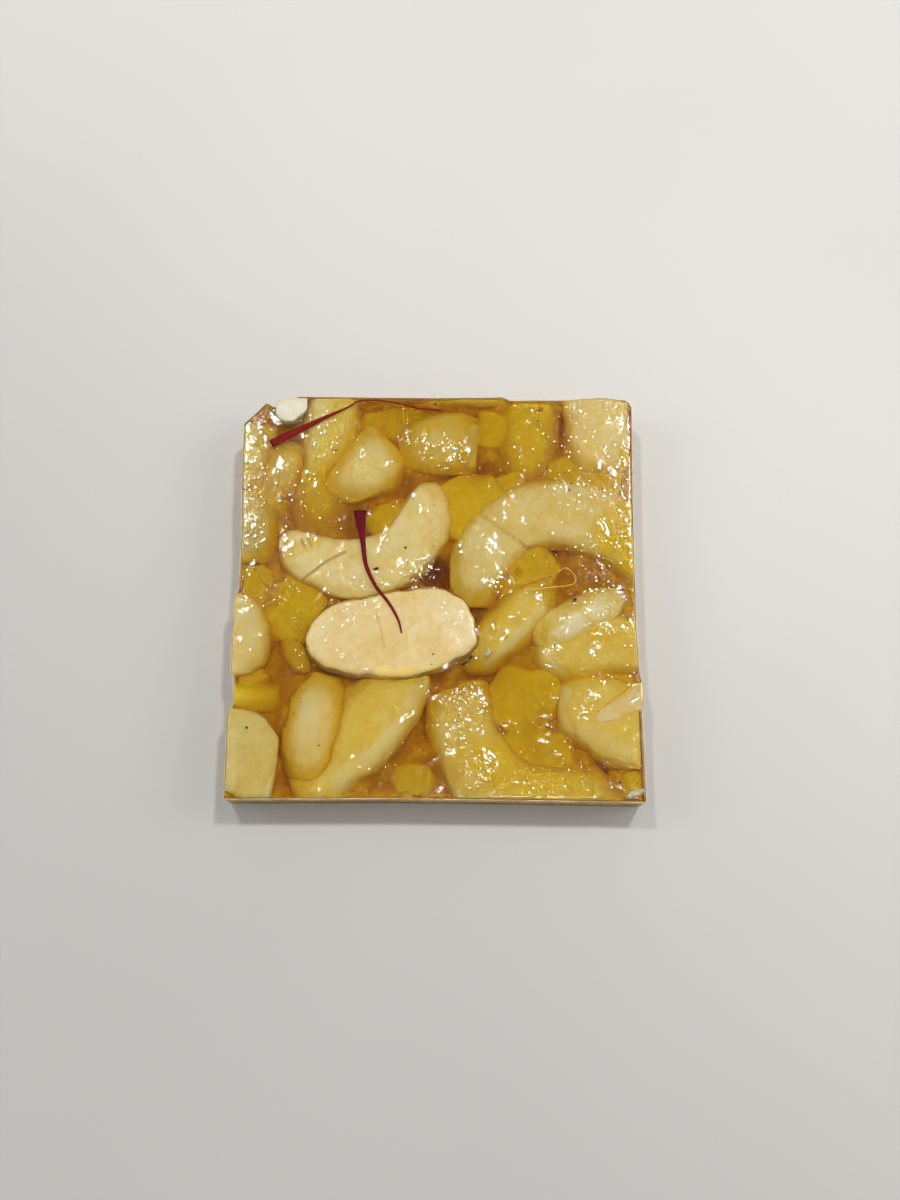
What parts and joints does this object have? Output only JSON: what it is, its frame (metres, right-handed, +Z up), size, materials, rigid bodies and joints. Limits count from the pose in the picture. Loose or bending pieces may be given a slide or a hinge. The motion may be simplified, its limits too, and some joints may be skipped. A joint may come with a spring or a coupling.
{
  "type": "cashew brittle",
  "caption": "Square tile of clear amber caramel with cashew halves and broken cashew pieces set in it, knife-cut sides and saffron threads lying on top; a sweet to eat.",
  "frame": {"origin": "middle of the underside", "axes": "+Z up through the tile's thickness, +Y towards the far edge in the picture, with the chipped corner at -X +Y"},
  "size_m": [0.056, 0.0576, 0.0075],
  "materials": {
    "caramel": "hard clear amber caramel, glossy with fine wrinkles",
    "cashew": "cream roasted cashew, satin, glazed thinly in places",
    "saffron": "dry dark red thread"
  },
  "bodies": {
    "root": {"caramel": "caramel", "cashew_centre_half": "cashew", "cashew_kidney_half": "cashew", "cashew_bright_chip": "cashew", "cashew_side_crest": "cashew", "cashew_near_left_block": "cashew", "cashew_left_half": "cashew", "cashew_upright_half": "cashew", "cashew_angular_chip": "cashew", "cashew_far_right_block": "cashew", "cashew_curl_upper": "cashew", "cashew_curl_lower": "cashew", "cashew_frosted_block": "cashew", "cashew_far_left_chip": "cashew", "cashew_leaning_chip": "cashew", "cashew_near_curl": "cashew", "cashew_right_half": "cashew", "cashew_slanted_half": "cashew", "cashew_finger": "cashew", "cashew_right_block": "cashew", "cashew_left_frosted_chip": "cashew", "cashew_long_half": "cashew", "cashew_small_chip": "cashew", "cashew_left_sliver": "cashew", "cashew_far_sliver": "cashew", "cashew_sunk_far_half": "cashew", "cashew_sunk_left_half": "cashew", "cashew_sunk_right_half": "cashew", "cashew_corner_chip": "cashew", "saffron_centre": "saffron", "saffron_far": "saffron"}
  },
  "joints": []
}
